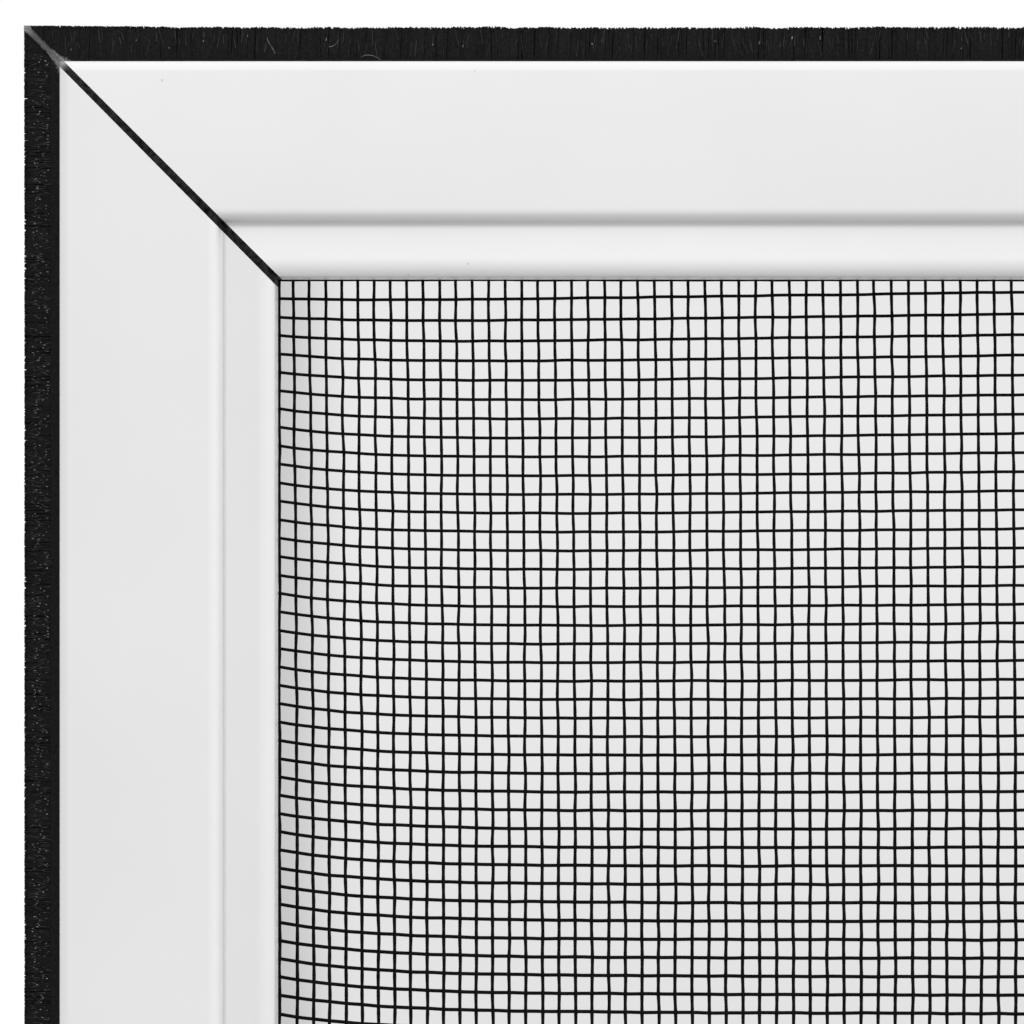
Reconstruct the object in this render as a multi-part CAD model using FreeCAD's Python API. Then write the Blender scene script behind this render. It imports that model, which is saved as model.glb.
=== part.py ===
import FreeCAD
import Part
import math
import os

# Framed insect screen for a window: four mitred aluminium extrusions on moulded corner keys, a brush
# seal in a slot all round the outside, and a woven mesh held by splines in a groove at the back.
# X is to the right, Z is up, and the front faces -Y. The origin is the centre of the frame.

# Driving dimensions, in millimetres
# Whole frame, measured over the aluminium
frame_width = 600.0
frame_height = 900.0
frame_depth = 11.0

# Front of the extrusion, from the outer edge inwards, with its slopes in degrees
edge_radius = 0.9
flat_width = 12.2
step_radius = 1.15
step_slope = 72.0
step_depth = 1.2
cove_radius = 0.2
bead_slope = 14.0
bead_run = 2.72
lip_radius = 1.5
lip_slope = 50.0
nose_radius = 0.2

# Walls, chambers and grooves of the extrusion
wall = 1.1
back_radius = 0.5
hollow_radius = 0.4
slot_mouth = 3.2
slot_lip = 1.0
slot_width = 5.2
slot_depth = 1.2
mesh_setback = 1.8
groove_depth = 3.6
wall_end_chamfer = 0.3

# Brush seal
pile_height = 3.2
pile_tip_radius = 0.5
seal_fit = 0.15

# Mesh, woven at 18 by 16 threads to the inch. Its holes are too many for solids, so a few large gaps stand for
# them, with the same share of open area, and each band between the gaps has ridges for its own threads.
gap_columns = 8
gap_rows = 12
band_width = 13.0
inch = 25.4
warp_per_inch = 18
weft_per_inch = 16
cloth = 0.2
thread_rise = 0.12
thread_base = 0.04
cloth_fit = 0.02
cloth_trim = 0.6
field_margin = 0.3

# Corner keys
web = 0.5
key_fit = 0.1
barb = 0.6
barb_pitch = 5.0
barb_slope = 4.0
barb_count = 5
leg_lead = 4.0
tip_taper = 1.5

# Places that follow from the driving dimensions: u runs inwards from the outer edge, v back from the front
step_sin = math.sin(math.radians(step_slope))
step_cos = math.cos(math.radians(step_slope))
bead_sin = math.sin(math.radians(bead_slope))
bead_cos = math.cos(math.radians(bead_slope))
lip_sin = math.sin(math.radians(lip_slope))
lip_cos = math.cos(math.radians(lip_slope))
step_centre = (flat_width, step_radius)
step_end = (flat_width + step_radius * step_sin, step_radius * (1 - step_cos))
slope_drop = step_depth - step_end[1] - cove_radius * (1 - step_cos)
cove_start = (step_end[0] + slope_drop * step_cos / step_sin, step_end[1] + slope_drop)
cove_centre = (cove_start[0] + cove_radius * step_sin, step_depth - cove_radius)
cove_end = (cove_centre[0] + cove_radius * bead_sin, cove_centre[1] + cove_radius * bead_cos)
bead_end = (cove_end[0] + bead_run, cove_end[1] - bead_run * bead_sin / bead_cos)
lip_centre = (bead_end[0] + lip_radius * bead_sin, bead_end[1] + lip_radius * bead_cos)
nose_set = lip_radius - nose_radius
nose_centre = (lip_centre[0] + nose_set * lip_sin, lip_centre[1] - nose_set * lip_cos)
face_width = nose_centre[0] + nose_radius
slot_floor = slot_lip + slot_depth
chamber_outer = slot_floor + wall
groove_outer = flat_width + wall
groove_inner = face_width - wall
wall_end = frame_depth - mesh_setback
groove_floor = wall_end - groove_depth
middle = frame_depth / 2
mitre_gap = web / math.sqrt(2)
reach = 2 * face_width
same_point = 1e-6

# The four sides: name, length, turn about Y and distance of the outer edge from the centre
sides = [
    ("top", frame_width, 0, frame_height / 2),
    ("right", frame_height, 90, frame_width / 2),
    ("bottom", frame_width, 180, frame_height / 2),
    ("left", frame_height, 270, frame_width / 2),
]


def point(u, v, along=0.0):
    """A point of a bar that lies along X with its outer edge at z = 0 and its body below."""
    return FreeCAD.Vector(along, v - middle, -u)


def on_circle(centre, radius, degrees):
    """A point (u, v) on a circle: 0 degrees is towards the front, 90 is inwards."""
    turn = math.radians(degrees)
    return centre[0] + radius * math.sin(turn), centre[1] - radius * math.cos(turn)


def rounding(before, corner, after, radius):
    """Start, middle and end of the arc that rounds a corner between two straight runs."""
    at = FreeCAD.Vector(*corner, 0)
    back = (FreeCAD.Vector(*before, 0) - at).normalize()
    ahead = (FreeCAD.Vector(*after, 0) - at).normalize()
    half = back.getAngle(ahead) / 2
    inwards = (back + ahead).normalize()
    start = at + back * (radius / math.tan(half))
    end = at + ahead * (radius / math.tan(half))
    mid = at + inwards * (radius / math.sin(half) - radius)
    return [(p.x, p.y) for p in (start, mid, end)]


def outline(*steps):
    """A closed wire of a section. A step is (u, v) for a sharp corner, (u, v, radius) for a rounded
    one, or a pair of points for the middle and end of an arc from the step before."""
    ends = [step[1] if isinstance(step[0], tuple) else step[:2] for step in steps]
    edges = []
    pen = None
    first = None
    for i, step in enumerate(steps):
        if isinstance(step[0], tuple):
            arc = [pen, step[0], step[1]]
        elif len(step) == 3:
            arc = rounding(ends[i - 1], step[:2], ends[(i + 1) % len(steps)], step[2])
        else:
            arc = [step[:2]]
        if pen is not None and math.dist(pen, arc[0]) > same_point:
            edges.append(Part.makeLine(point(*pen), point(*arc[0])))
        if len(arc) == 3:
            edges.append(Part.Arc(*[point(*p) for p in arc]).toShape())
        first = first or arc[0]
        pen = arc[-1]
    if math.dist(pen, first) > same_point:
        edges.append(Part.makeLine(point(*pen), point(*first)))
    return Part.Wire(edges)


def plate(corners, front, back):
    """A flat piece in the frame's own plane: corners are (along, u), and front and back are depths."""
    ring = [point(u, front, along) for along, u in corners]
    return Part.Face(Part.makePolygon(ring + ring[:1])).extrude(FreeCAD.Vector(0, back - front, 0))


def mitred(section, length):
    """A section run along a side and cut at 45 degrees at both ends, clear of the key's web."""
    outer = length / 2 + pile_height - mitre_gap
    inner = length / 2 - reach - mitre_gap
    corners = [(-outer, -pile_height), (outer, -pile_height), (inner, reach), (-inner, reach)]
    run = section.copy()
    run.translate(FreeCAD.Vector(-outer, 0, 0))
    return run.extrude(FreeCAD.Vector(2 * outer, 0, 0)).common(plate(corners, 0, frame_depth))


def seated(shape, turn, distance):
    """Takes a piece of the top side to another side of the frame."""
    piece = shape.copy()
    piece.translate(FreeCAD.Vector(0, 0, distance))
    piece.rotate(FreeCAD.Vector(), FreeCAD.Vector(0, 1, 0), turn)
    return piece


def extrusion_outline():
    """Outside of the bar's section: flat, step and bead in front, mesh groove behind, brush slot outside."""
    cove_middle = 180 + (step_slope - bead_slope) / 2
    lip_middle = (lip_slope - bead_slope) / 2
    mouth_front = middle - slot_mouth / 2
    mouth_back = middle + slot_mouth / 2
    slot_front = middle - slot_width / 2
    slot_back = middle + slot_width / 2
    return outline(
        (0, 0, edge_radius),
        (flat_width, 0),
        (on_circle(step_centre, step_radius, step_slope / 2), step_end),
        cove_start,
        (on_circle(cove_centre, cove_radius, cove_middle), cove_end),
        bead_end,
        (on_circle(lip_centre, lip_radius, lip_middle), on_circle(lip_centre, lip_radius, lip_slope)),
        (on_circle(nose_centre, nose_radius, (90 + lip_slope) / 2), (face_width, nose_centre[1])),
        (face_width, wall_end - wall_end_chamfer),
        (face_width - wall_end_chamfer, wall_end),
        (groove_inner + wall_end_chamfer, wall_end),
        (groove_inner, wall_end - wall_end_chamfer),
        (groove_inner, groove_floor),
        (groove_outer, groove_floor),
        (groove_outer, frame_depth, back_radius),
        (0, frame_depth, back_radius),
        (0, mouth_back),
        (slot_lip, mouth_back),
        (slot_lip, slot_back),
        (slot_floor, slot_back),
        (slot_floor, slot_front),
        (slot_lip, slot_front),
        (slot_lip, mouth_front),
        (0, mouth_front),
    )


def extrusion_chambers():
    """The two hollows of the bar: the main one for the corner keys, and a small one behind the bead."""
    main = outline(
        (chamber_outer, wall),
        (flat_width, wall),
        (flat_width, frame_depth - wall),
        (chamber_outer, frame_depth - wall),
    )
    ceiling = bead_end[1] + wall / bead_cos
    behind_bead = outline(
        (groove_outer, groove_floor - wall),
        (groove_outer, ceiling + (bead_end[0] - groove_outer) * bead_sin / bead_cos),
        (groove_inner, ceiling + (bead_end[0] - groove_inner) * bead_sin / bead_cos, hollow_radius),
        (groove_inner, groove_floor - wall),
    )
    return [main, behind_bead]


def bar_section():
    section = Part.Face(extrusion_outline())
    for hollow in extrusion_chambers():
        section = section.cut(Part.Face(hollow))
    return section.Faces[0]


def seal_section():
    """Backing strip in the slot, and the pile that stands out of its mouth."""
    backing_half = slot_width / 2 - seal_fit
    pile_half = slot_mouth / 2 - seal_fit
    backing_front = slot_lip + seal_fit
    backing_back = slot_floor - seal_fit
    return Part.Face(outline(
        (-pile_height, middle - pile_half, pile_tip_radius),
        (-pile_height, middle + pile_half, pile_tip_radius),
        (backing_front, middle + pile_half),
        (backing_front, middle + backing_half),
        (backing_back, middle + backing_half),
        (backing_back, middle - backing_half),
        (backing_front, middle - backing_half),
        (backing_front, middle - pile_half),
    ))


def spline_section():
    """Round cord that fills the groove, less the cloth on both sides of it."""
    radius = (groove_inner - groove_outer) / 2 - cloth - 2 * cloth_fit
    centre = point((groove_inner + groove_outer) / 2, groove_floor + cloth + 2 * cloth_fit + radius)
    circle = Part.makeCircle(radius, centre, FreeCAD.Vector(1, 0, 0))
    return Part.Face(Part.Wire(circle))


def beside(path, distance):
    """A path of straight runs moved sideways by a distance, away from the metal that it lies on."""
    moved = []
    for i, corner in enumerate(path):
        normals = []
        for a, b in zip(path[max(i - 1, 0):i + 1], path[max(i - 1, 0) + 1:i + 2]):
            run = math.dist(a, b)
            normals.append(((b[1] - a[1]) / run, (a[0] - b[0]) / run))
        (nu, nv), (mu, mv) = normals[0], normals[-1]
        stretch = distance / (1 + nu * mu + nv * mv)
        moved.append((corner[0] + (nu + mu) * stretch, corner[1] + (nv + mv) * stretch))
    return moved


def tuck_section():
    """Edge of the cloth: over the end of the inner wall, down into the groove, under the spline and up."""
    path = [
        (face_width, wall_end),
        (groove_inner + wall_end_chamfer, wall_end),
        (groove_inner, wall_end - wall_end_chamfer),
        (groove_inner, groove_floor),
        (groove_outer, groove_floor),
        (groove_outer, frame_depth - cloth_trim),
    ]
    return Part.Face(outline(*beside(path, cloth_fit), *reversed(beside(path, cloth_fit + cloth))))


def thread_ridges(span, length, pitch):
    """A row of thread ridges side by side across a span, as one toothed plate that lies along X."""
    count = int(span / pitch)
    start = -count * pitch / 2
    teeth = [FreeCAD.Vector(start, 0, 0), FreeCAD.Vector(start, thread_base, 0)]
    for i in range(count):
        teeth.append(FreeCAD.Vector(start + (i + 0.5) * pitch, thread_base + thread_rise, 0))
        teeth.append(FreeCAD.Vector(start + (i + 1) * pitch, thread_base, 0))
    teeth.append(FreeCAD.Vector(-start, 0, 0))
    rows = Part.Face(Part.makePolygon(teeth + teeth[:1]))
    rows.translate(FreeCAD.Vector(0, 0, -length / 2))
    return rows.extrude(FreeCAD.Vector(0, 0, length))


def band_centres(span, gaps):
    """Middles of the bands between the gaps, and outside the first and last of them, across a span."""
    pitch = (span - band_width) / gaps
    return [(band_width - span) / 2 + i * pitch for i in range(gaps + 1)]


def open_field(width, height, front):
    """The flat cloth in the opening, less its gaps."""
    field = Part.makeBox(width, cloth, height, FreeCAD.Vector(-width / 2, front, -height / 2))
    columns = band_centres(width, gap_columns)
    rows = band_centres(height, gap_rows)
    gap_width = columns[1] - columns[0] - band_width
    gap_height = rows[1] - rows[0] - band_width
    gaps = []
    for x in columns[:-1]:
        for z in rows[:-1]:
            corner = FreeCAD.Vector(x + band_width / 2, front, z + band_width / 2)
            gaps.append(Part.makeBox(gap_width, cloth, gap_height, corner))
    return field.cut(gaps)


def insect_mesh():
    """One cloth: open field, warp ridges in front, weft ridges behind, and four tucked edges."""
    opening_width = frame_width - 2 * face_width
    opening_height = frame_height - 2 * face_width
    front = wall_end + cloth_fit - middle
    ridged = band_width - 2 * field_margin
    warp = thread_ridges(ridged, opening_height - 2 * field_margin, inch / warp_per_inch)
    warp.rotate(FreeCAD.Vector(), FreeCAD.Vector(0, 0, 1), 180)
    weft = thread_ridges(ridged, opening_width - 2 * field_margin, inch / weft_per_inch)
    weft.rotate(FreeCAD.Vector(), FreeCAD.Vector(0, 1, 0), 90)
    threads = []
    for x in band_centres(opening_width, gap_columns):
        threads.append(warp.translated(FreeCAD.Vector(x, front, 0)))
    for z in band_centres(opening_height, gap_rows):
        threads.append(weft.translated(FreeCAD.Vector(0, front + cloth, z)))
    edges = [seated(mitred(tuck_section(), length), turn, out) for _, length, turn, out in sides]
    return open_field(opening_width, opening_height, front).multiFuse(threads + edges)


def key_leg():
    """Barbed leg of a corner key, from the mitre line of the top left corner along the top rail."""
    outer = chamber_outer + key_fit + barb
    inner = flat_width - key_fit - barb
    first = inner + leg_lead
    tip = first + barb_count * barb_pitch + leg_lead
    out_side = []
    in_side = []
    for i in range(barb_count):
        foot = first + i * barb_pitch
        out_side += [(foot, outer), (foot, outer - barb), (foot + barb_slope, outer)]
        in_side += [(foot, inner), (foot, inner + barb), (foot + barb_slope, inner)]
    taper = tip - tip_taper
    nose = [(taper, outer), (tip, outer + tip_taper), (tip, inner - tip_taper), (taper, inner)]
    corners = [(outer, outer)] + out_side + nose + in_side[::-1] + [(inner, inner)]
    clear = wall + key_fit
    return plate(corners, clear, frame_depth - clear)


def corner_key():
    """Key of the top left corner, with the corner's outer point at the origin."""
    body = Part.Face(extrusion_outline()).extrude(FreeCAD.Vector(reach, 0, 0))
    slice_corners = [(0, 0), (mitre_gap, 0), (reach + mitre_gap, reach), (reach, reach)]
    half = body.common(plate(slice_corners, 0, frame_depth)).fuse(key_leg())
    other = half.mirror(FreeCAD.Vector(), FreeCAD.Vector(1, 0, 1))
    return half.fuse(other).removeSplitter()


def all_pieces():
    bar = bar_section()
    seal = seal_section()
    cord = spline_section()
    bar_names = {"top": "top_rail", "right": "right_stile", "bottom": "bottom_rail", "left": "left_stile"}
    pieces = {}
    for side, length, turn, out in sides:
        pieces[bar_names[side]] = seated(mitred(bar, length), turn, out)
        pieces["brush_seal_" + side] = seated(mitred(seal, length), turn, out)
        pieces["spline_" + side] = seated(mitred(cord, length), turn, out)
    key = corner_key()
    corners = [("top_left", 0, -1, 1), ("top_right", 90, 1, 1),
               ("bottom_right", 180, 1, -1), ("bottom_left", 270, -1, -1)]
    for name, turn, right, up in corners:
        piece = seated(key, turn, 0)
        piece.translate(FreeCAD.Vector(right * frame_width / 2, 0, up * frame_height / 2))
        pieces["corner_key_" + name] = piece
    pieces["insect_mesh"] = insect_mesh()
    return pieces


os.makedirs("parts", exist_ok=True)
for name, shape in all_pieces().items():
    solids = shape.Solids
    shape = solids[0] if len(solids) == 1 else shape
    box = shape.BoundBox
    size = f"{box.XLength:.2f} x {box.YLength:.2f} x {box.ZLength:.2f} mm"
    print(f"{name}: {len(solids)} solid, {shape.Volume:.1f} mm3, {size}, valid {shape.isValid()}")
    shape.exportStep(f"parts/{name}.step")
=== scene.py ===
# %% [markdown]
# # A framed insect screen for a window
# The real screen is four white aluminium extrusions, mitred at the corners on black plastic keys. A black
# brush seal runs round the outside, and a woven mesh is held at the back by cords pressed into a groove.
# The CAD model gives every piece its size and place. This lesson gives the pieces their finish: rolled
# and coated metal, loose fibres in the brush, and real crossing threads in the mesh.

# %% Load the CAD frame
import math
import bmesh
import bpy
from mathutils import Matrix, Vector, noise
from mathutils.geometry import interpolate_bezier


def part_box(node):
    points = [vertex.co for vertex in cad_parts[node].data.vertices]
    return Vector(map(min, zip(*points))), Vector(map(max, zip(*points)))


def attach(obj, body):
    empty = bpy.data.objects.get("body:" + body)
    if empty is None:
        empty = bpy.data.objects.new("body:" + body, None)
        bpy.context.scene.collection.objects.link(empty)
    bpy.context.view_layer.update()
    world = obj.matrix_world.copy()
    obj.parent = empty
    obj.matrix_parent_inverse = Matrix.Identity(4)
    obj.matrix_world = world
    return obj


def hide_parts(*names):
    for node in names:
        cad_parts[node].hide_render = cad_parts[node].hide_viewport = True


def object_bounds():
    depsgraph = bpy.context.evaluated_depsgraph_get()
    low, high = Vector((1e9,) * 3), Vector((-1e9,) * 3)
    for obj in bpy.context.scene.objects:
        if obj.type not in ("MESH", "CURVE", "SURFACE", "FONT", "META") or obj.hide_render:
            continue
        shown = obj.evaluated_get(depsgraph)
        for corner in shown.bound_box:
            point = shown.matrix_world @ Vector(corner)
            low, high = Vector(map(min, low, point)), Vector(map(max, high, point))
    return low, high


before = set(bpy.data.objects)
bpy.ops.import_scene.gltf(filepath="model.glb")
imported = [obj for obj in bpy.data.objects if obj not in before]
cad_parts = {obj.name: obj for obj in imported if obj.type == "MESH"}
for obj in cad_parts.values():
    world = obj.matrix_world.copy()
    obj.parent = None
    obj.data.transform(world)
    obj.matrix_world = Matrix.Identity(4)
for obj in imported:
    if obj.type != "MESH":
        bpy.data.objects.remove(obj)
cad_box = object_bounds()
mm = 0.001
print("CAD box in mm:", [[round(c / mm, 2) for c in corner] for corner in cad_box])

# %% [markdown]
# ## Measures
# The overall sizes are read from the CAD nodes, so the looks always fit them. The section of the
# extrusion can't be read from a box, so its sizes are repeated here: u is the distance inwards from the
# outer edge, and v is the depth behind the front face.

# %% Sizes of the frame and of its section
rail_low, rail_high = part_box("top_rail")
stile_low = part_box("left_stile")[0]
brush_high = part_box("brush_seal_top")[1]
front = rail_low.y
depth = rail_high.y - rail_low.y
middle = depth / 2
face = rail_high.z - rail_low.z
half_height = rail_high.z
half_width = -stile_low.x
open_x = half_width - face
open_z = half_height - face
pile_height = brush_high.z - rail_high.z
mitre_gap = half_width - rail_high.x

edge_radius = 0.9 * mm
flat = 12.2 * mm
step_radius = 1.15 * mm
step_slope = 72
step_depth = 1.2 * mm
cove_radius = 0.2 * mm
bead_slope = 14
bead_run = 2.72 * mm
lip_radius = 1.5 * mm
lip_slope = 50
nose_radius = 0.2 * mm
wall = 1.1 * mm
back_radius = 0.5 * mm
hollow_radius = 0.4 * mm
slot_mouth = 3.2 * mm
slot_lip = 1.0 * mm
slot_width = 5.2 * mm
slot_depth = 1.2 * mm
mesh_setback = 1.8 * mm
groove_depth = 3.6 * mm
chamfer = 0.3 * mm

step_turn = math.radians(step_slope)
bead_turn = math.radians(bead_slope)
lip_turn = math.radians(lip_slope)
slope_u = flat + step_radius * math.sin(step_turn)
slope_v = step_radius * (1 - math.cos(step_turn))
slope_drop = step_depth - slope_v - cove_radius * (1 - math.cos(step_turn))
foot_u = slope_u + slope_drop / math.tan(step_turn)
foot_v = slope_v + slope_drop
cove_u = foot_u + cove_radius * math.sin(step_turn)
cove_v = step_depth - cove_radius
bead_u = cove_u + cove_radius * math.sin(bead_turn) + bead_run
bead_v = cove_v + cove_radius * math.cos(bead_turn) - bead_run * math.tan(bead_turn)
lip_u = bead_u + lip_radius * math.sin(bead_turn)
lip_v = bead_v + lip_radius * math.cos(bead_turn)
nose_u = face - nose_radius
nose_v = lip_v - (lip_radius - nose_radius) * math.cos(lip_turn)
slot_floor = slot_lip + slot_depth
groove_outer = flat + wall
groove_inner = face - wall
wall_end = depth - mesh_setback
groove_floor = wall_end - groove_depth
print(f"face {face / mm:.2f} mm, lip centre {lip_u / mm:.2f} mm in, pile {pile_height / mm:.2f} mm")

# %% [markdown]
# ## Turning a bmesh into a piece
# Every piece is modelled as if it belonged to the top side, and then turned about Y to its own side. The
# mesh keeps its place and the object stays at the origin, so a pattern on Object coordinates lies still.
# Smooth shading with sharp edges by angle keeps arcs round and corners crisp.

# %% Helpers for pieces and sides
# For each side: its length, its turn about Y in degrees, and how far out its outer edge lies
SIDES = {
    "top": (2 * half_width, 0, half_height),
    "right": (2 * half_height, 90, half_width),
    "bottom": (2 * half_width, 180, half_height),
    "left": (2 * half_height, 270, half_width),
}
NODES = {"top": "top_rail", "right": "right_stile", "bottom": "bottom_rail", "left": "left_stile"}
SHARP = math.radians(32)


def all_of(bm):
    return bm.verts[:] + bm.edges[:] + bm.faces[:]


def only(kind, geom):
    """The vertices or the edges among what an operator made."""
    return [g for g in geom if isinstance(g, kind)]


def seat(bm, side):
    """Takes a piece of the top side, with its outer edge at z = 0, to its place on a side."""
    _, turn, distance = SIDES[side]
    bmesh.ops.translate(bm, verts=bm.verts, vec=(0, 0, distance))
    bmesh.ops.rotate(bm, verts=bm.verts, cent=(0, 0, 0), matrix=Matrix.Rotation(math.radians(turn), 3, "Y"))


def as_mesh(name, bm):
    """A mesh of what a bmesh holds, which is then freed."""
    mesh = bpy.data.meshes.new(name)
    bm.to_mesh(mesh)
    bm.free()
    return mesh


def joined(*parts):
    """Several bmeshes as one."""
    whole = bmesh.new()
    for part in parts:
        held = as_mesh("held", part)
        whole.from_mesh(held)
        bpy.data.meshes.remove(held)
    return whole


def linked(name, data):
    """A new object in the scene."""
    obj = bpy.data.objects.new(name, data)
    bpy.context.scene.collection.objects.link(obj)
    return obj


def piece(name, bm, material, slot, *nodes):
    """A finished piece that rides on the frame and stands for CAD nodes."""
    bmesh.ops.recalc_face_normals(bm, faces=bm.faces)
    mesh = as_mesh(name, bm)
    mesh.shade_smooth()
    mesh.set_sharp_from_angle(angle=SHARP)
    mesh.materials.append(material)
    obj = linked(name, mesh)
    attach(obj, "root")
    if nodes:
        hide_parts(*nodes)
    triangles = sum(len(p.vertices) - 2 for p in mesh.polygons)
    print(f"{name}: {triangles} triangles")
    return obj


# %% [markdown]
# ## Finishes
# Powder coat is a thick, slightly uneven skin, so it gets a very fine bump and a faint change of gloss. The
# black parts differ mostly in gloss: moulded plastic is dull, coated thread has a soft shine, and brush
# fibres glint. Small functions wrap the nodes that the finishes share. One more makes every finish from a
# few values, because the pattern is the same and only its scale differs. On the coat a second then adds
# painted shade in the foot of the step, and a few tiny specks that a used screen has. A third lays pale
# grey along the mitres of the black parts: dust that cut fibres catch, and painted highlight on their ends.

# %% Nodes that the finishes are made of
def put(tree, socket, value):
    """Sets a socket to a plain number, or links another socket to it."""
    if isinstance(value, (int, float)):
        socket.default_value = value
    else:
        tree.links.new(value, socket)


def calc(tree, operation, *values):
    """A Math node. Each value is a socket or a plain number."""
    node = tree.nodes.new("ShaderNodeMath")
    node.operation = operation
    for socket, value in zip(node.inputs, values):
        put(tree, socket, value)
    return node.outputs["Value"]


def ranged(tree, value, start, end, low, high, kind="LINEAR"):
    """A Map Range node: the result runs from low to high while the value runs from start to end."""
    node = tree.nodes.new("ShaderNodeMapRange")
    node.interpolation_type = kind
    tree.links.new(value, node.inputs["Value"])
    for name, number in (("From Min", start), ("From Max", end), ("To Min", low), ("To Max", high)):
        node.inputs[name].default_value = number
    return node.outputs["Result"]


def object_place(tree):
    return tree.nodes.new("ShaderNodeTexCoord").outputs["Object"]


def axes_of(tree, vector):
    """X, Y and Z of a vector, apart."""
    node = tree.nodes.new("ShaderNodeSeparateXYZ")
    tree.links.new(vector, node.inputs["Vector"])
    return node.outputs


def patches(tree, where, size, detail):
    """Noise whose patches have a size in metres."""
    node = tree.nodes.new("ShaderNodeTexNoise")
    node.inputs["Scale"].default_value = 1 / size
    node.inputs["Detail"].default_value = detail
    tree.links.new(where, node.inputs["Vector"])
    return node.outputs["Fac"]


def colour_ramp(tree, share, stops):
    """Colours along a share from 0 to 1, given as stops of (share, colour)."""
    node = tree.nodes.new("ShaderNodeValToRGB")
    elements = node.color_ramp.elements
    for stop, _ in stops[1:-1]:
        elements.new(stop)
    for element, (stop, colour) in zip(elements, stops):
        element.position = stop
        element.color = (*colour, 1)
    tree.links.new(share, node.inputs["Fac"])
    return node.outputs["Color"]


def grey_ramp(tree, value, stops):
    """Greys along a value, given as stops of (value, grey)."""
    low = stops[0][0]
    high = stops[-1][0]
    shares = [((stop - low) / (high - low), (grey, grey, grey)) for stop, grey in stops]
    return colour_ramp(tree, ranged(tree, value, low, high, 0, 1), shares)


def blended(tree, kind, share, colour, other):
    """A Mix node for two colours."""
    node = tree.nodes.new("ShaderNodeMix")
    node.data_type = "RGBA"
    node.blend_type = kind
    put(tree, node.inputs["Factor"], share)
    tree.links.new(colour, node.inputs["A"])
    tree.links.new(other, node.inputs["B"])
    return node.outputs["Result"]


# %% One function for every finish
bump_strength = 0.6
grain_detail = 3
speck_detail = 2
tone_dark = 0.3
tone_light = 0.7


def finish(name, dark, light, shine, rough, rough_change, grain, bump, speck):
    """A surface between two greys, with a fine bump. Grain, bump and speck are in metres."""
    mat = bpy.data.materials.new(name)
    mat.use_nodes = True
    tree = mat.node_tree
    shader = tree.nodes["Principled BSDF"].inputs
    shader["Specular IOR Level"].default_value = shine
    where = object_place(tree)
    bumps = tree.nodes.new("ShaderNodeBump")
    bumps.inputs["Strength"].default_value = bump_strength
    bumps.inputs["Distance"].default_value = bump
    tree.links.new(patches(tree, where, grain, grain_detail), bumps.inputs["Height"])
    tree.links.new(bumps.outputs["Normal"], shader["Normal"])
    broad = patches(tree, where, speck, speck_detail)
    tone = colour_ramp(tree, broad, [(tone_dark, dark), (tone_light, light)])
    tree.links.new(tone, shader["Base Color"])
    gloss = ranged(tree, broad, 0, 1, rough - rough_change, rough + rough_change)
    tree.links.new(gloss, shader["Roughness"])
    return mat


# %% Painted shade and specks on the coat
rail_step_shade = [(-1.0 * mm, 1.0), (-0.75 * mm, 0.88), (-0.1 * mm, 0.8), (0.03 * mm, 0.7), (0.15 * mm, 0.86),
             (0.35 * mm, 1.0)]
stile_step_shade = [(-0.48 * mm, 1.0), (-0.14 * mm, 0.93), (0.03 * mm, 0.74), (0.15 * mm, 0.86), (0.35 * mm, 1.0)]
speck_spacing = 4.5 * mm
speck_radius = 0.14 * mm
speck_core = 0.5
speck_grey = 0.75


def coat(name, axis, outer, shade_stops):
    """Powder coat of two bars: axis and distance of their outer edges, and painted shade by distance from the
    step.
    """
    mat = finish(name, dark=(0.81, 0.81, 0.812), light=(0.83, 0.83, 0.83), shine=0.5,
                 rough=0.42, rough_change=0.05, grain=0.9 * mm, bump=0.004 * mm, speck=14 * mm)
    tree = mat.node_tree
    base = tree.nodes["Principled BSDF"].inputs["Base Color"]
    clean = base.links[0].from_socket
    where = object_place(tree)
    # Painted shade: the coat is darker along the foot of the step, where shade falls, and more so on the
    # rails.
    inwards = calc(tree, "SUBTRACT", outer - cove_u, calc(tree, "ABSOLUTE", axes_of(tree, where)[axis]))
    step_shaded = blended(tree, "MULTIPLY", 1, clean, grey_ramp(tree, inwards, shade_stops))
    dots = tree.nodes.new("ShaderNodeTexVoronoi")
    dots.inputs["Scale"].default_value = 1 / speck_spacing
    tree.links.new(where, dots.inputs["Vector"])
    speck = speck_radius / speck_spacing
    specks = grey_ramp(tree, dots.outputs["Distance"], [(speck * speck_core, speck_grey), (speck, 1.0)])
    tree.links.new(blended(tree, "MULTIPLY", 1, step_shaded, specks), base)
    return mat


# %% Dust and painted highlight along the mitres
# Greys along the diagonal are dust and painted highlight on the cut fibre ends, lighter at both ends.
dust_and_highlight_greys = [(-1.1 * mm, 0.1), (-0.4 * mm, 0.3), (0.3 * mm, 0.34), (0.9 * mm, 0.32), (1.5 * mm, 0.27),
             (3.3 * mm, 0.26), (3.9 * mm, 0.45), (4.4 * mm, 0.6)]
mitre_band_width = [(-1.1 * mm, 1.0), (-0.5 * mm, 0.85), (0.1 * mm, 0.62), (0.8 * mm, 0.42), (1.6 * mm, 0.27),
              (3.6 * mm, 0.27), (4.4 * mm, 0.42)]
mitre_band_cover = [(-1.1 * mm, 0.0), (-0.4 * mm, 1.0)]
mitre_band_edge = [(0.3, 1.0), (0.6, 0.6), (1.0, 0.0)]
mitre_band_grain = 0.25 * mm
mitre_band_detail = 2


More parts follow.
